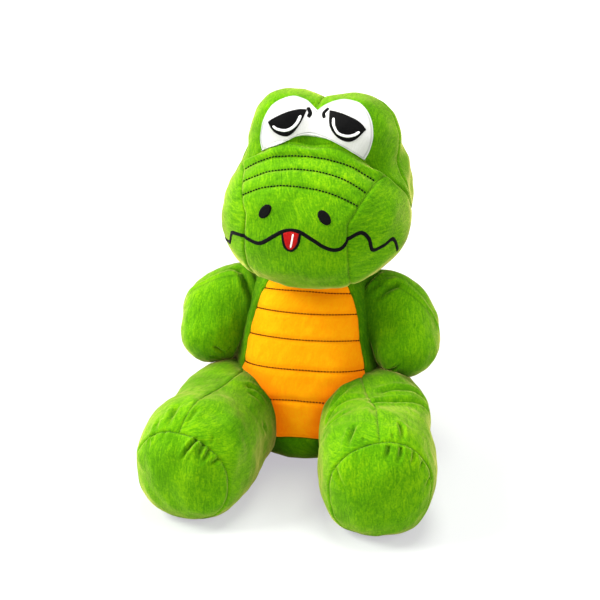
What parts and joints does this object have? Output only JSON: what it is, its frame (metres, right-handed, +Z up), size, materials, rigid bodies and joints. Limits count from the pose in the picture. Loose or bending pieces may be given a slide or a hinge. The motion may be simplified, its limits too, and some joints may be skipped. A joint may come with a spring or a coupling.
{
  "type": "plush crocodile toy",
  "caption": "Seated stuffed crocodile toy with a broad muzzle, raised eye bumps, a contrasting quilted belly, flipper arms, thick forward legs and a short tail.",
  "frame": {"origin": "middle of the flat seat under the torso, on the surface that the toy sits on", "axes": "+Z up, -Y the way the toy faces, +X the toy's left"},
  "size_m": [0.2434, 0.3034, 0.3158],
  "materials": {
    "green_plush": "short-pile bright green plush with a soft yellow-green sheen",
    "orange_plush": "short-pile orange plush",
    "black_thread": "black embroidery thread with a satin gloss",
    "red_thread": "red embroidery thread",
    "white_thread": "white embroidery thread",
    "white_felt": "smooth white short-nap fabric, appliqued",
    "stuffing": "white polyester fibre fill"
  },
  "bodies": {
    "torso": {"belly_panel": "orange_plush", "left_back_panel": "green_plush", "right_back_panel": "green_plush", "base_panel": "green_plush", "torso_stuffing": "stuffing", "belly_stitching_1": "black_thread", "belly_stitching_2": "black_thread", "belly_stitching_3": "black_thread", "belly_stitching_4": "black_thread", "belly_stitching_5": "black_thread"},
    "neck": {"neck_sleeve": "green_plush", "neck_stuffing": "stuffing"},
    "head": {"muzzle_panel": "green_plush", "left_cheek_panel": "green_plush", "right_cheek_panel": "green_plush", "left_brow_panel": "green_plush", "right_brow_panel": "green_plush", "left_crown_panel": "green_plush", "right_crown_panel": "green_plush", "head_stuffing": "stuffing", "eye_patch": "white_felt", "left_eye": "black_thread", "right_eye": "black_thread", "left_eye_glint": "white_thread", "right_eye_glint": "white_thread", "left_brow_stitch": "black_thread", "right_brow_stitch": "black_thread", "left_nostril": "black_thread", "right_nostril": "black_thread", "muzzle_stitching_1": "black_thread", "muzzle_stitching_2": "black_thread", "muzzle_stitching_3": "black_thread", "mouth_stitching": "black_thread", "tongue": "red_thread", "tongue_mark": "white_thread"},
    "left_arm": {"left_arm_front": "green_plush", "left_arm_back": "green_plush", "left_arm_stuffing": "stuffing"},
    "left_leg": {"left_leg_outer": "green_plush", "left_leg_inner": "green_plush", "left_sole": "green_plush", "left_leg_stuffing": "stuffing"},
    "right_arm": {"right_arm_front": "green_plush", "right_arm_back": "green_plush", "right_arm_stuffing": "stuffing"},
    "right_leg": {"right_leg_outer": "green_plush", "right_leg_inner": "green_plush", "right_sole": "green_plush", "right_leg_stuffing": "stuffing"},
    "tail": {"tail_left": "green_plush", "tail_right": "green_plush", "tail_stuffing": "stuffing"}
  },
  "joints": [
    {"name": "neck_turn", "type": "hinge", "parent": "torso", "child": "neck", "pos_m": [0.0105, 0.022, 0.168], "axis": [0, 0, 1], "range_deg": [-20, 20], "stiffness_Nm_per_rad": 1},
    {"name": "neck_nod", "type": "hinge", "parent": "neck", "child": "head", "pos_m": [0.0105, 0.022, 0.168], "axis": [0.9951, -0.0993, 0], "range_deg": [-8, 8], "stiffness_Nm_per_rad": 2.5},
    {"name": "left_shoulder", "type": "hinge", "parent": "torso", "child": "left_arm", "pos_m": [0.055, 0.022, 0.126], "axis": [-1, 0, 0], "range_deg": [-12, 38], "stiffness_Nm_per_rad": 0.15},
    {"name": "left_hip", "type": "hinge", "parent": "torso", "child": "left_leg", "pos_m": [0.052, 0, 0.05], "axis": [-1, 0, 0], "range_deg": [-35, 6], "stiffness_Nm_per_rad": 0.6},
    {"name": "right_shoulder", "type": "hinge", "parent": "torso", "child": "right_arm", "pos_m": [-0.055, 0.022, 0.126], "axis": [-1, 0, 0], "range_deg": [-12, 38], "stiffness_Nm_per_rad": 0.15},
    {"name": "right_hip", "type": "hinge", "parent": "torso", "child": "right_leg", "pos_m": [-0.052, 0, 0.05], "axis": [-1, 0, 0], "range_deg": [-35, 6], "stiffness_Nm_per_rad": 0.6},
    {"name": "tail_wag", "type": "hinge", "parent": "torso", "child": "tail", "pos_m": [0, 0.03867, 0.022], "axis": [0, 0, 1], "range_deg": [-15, 15], "stiffness_Nm_per_rad": 0.1}
  ]
}
